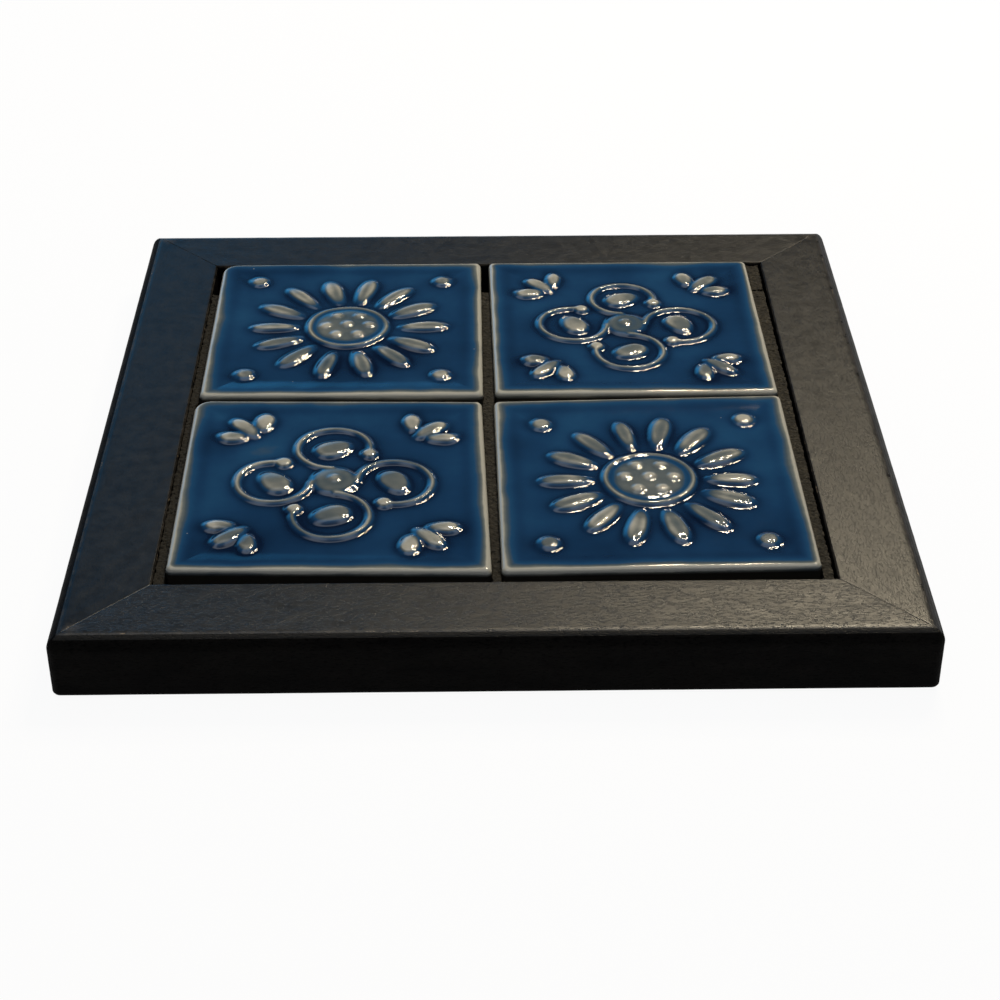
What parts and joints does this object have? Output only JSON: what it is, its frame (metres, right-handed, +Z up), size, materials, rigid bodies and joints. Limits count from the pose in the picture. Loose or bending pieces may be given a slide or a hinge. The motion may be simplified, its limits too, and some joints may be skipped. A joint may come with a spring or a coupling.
{
  "type": "tile trivet",
  "caption": "Square table trivet: relief-moulded blue-glazed ceramic tiles set side by side in a mitred black wooden frame, on felt pads.",
  "frame": {"origin": "centre of the frame in plan, at the level of the undersides of the felt pads, which is the table top", "axes": "+Z up out of the tiles; -Y towards the front rail, the side nearest the camera; +X to the right"},
  "size_m": [0.24, 0.24, 0.0228],
  "materials": {
    "frame_wood": "satin",
    "blue_glaze": "gloss",
    "packing_cork": "matte",
    "plywood": "matte",
    "tile_adhesive": "matte",
    "steel": "satin",
    "felt": "matte"
  },
  "bodies": {
    "root": {"front_rail": "frame_wood", "back_rail": "frame_wood", "left_rail": "frame_wood", "right_rail": "frame_wood", "front_left_tile": "blue_glaze", "front_right_tile": "blue_glaze", "back_left_tile": "blue_glaze", "back_right_tile": "blue_glaze", "left_strip": "packing_cork", "middle_strip": "packing_cork", "right_strip": "packing_cork", "right_short_strip": "packing_cork", "base_panel": "plywood", "panel_pins": "steel", "front_left_bed": "tile_adhesive", "front_right_bed": "tile_adhesive", "back_left_bed": "tile_adhesive", "back_right_bed": "tile_adhesive", "front_left_nails": "steel", "front_right_nails": "steel", "back_left_nails": "steel", "back_right_nails": "steel", "front_left_pad": "felt", "front_right_pad": "felt", "back_left_pad": "felt", "back_right_pad": "felt"}
  },
  "joints": []
}
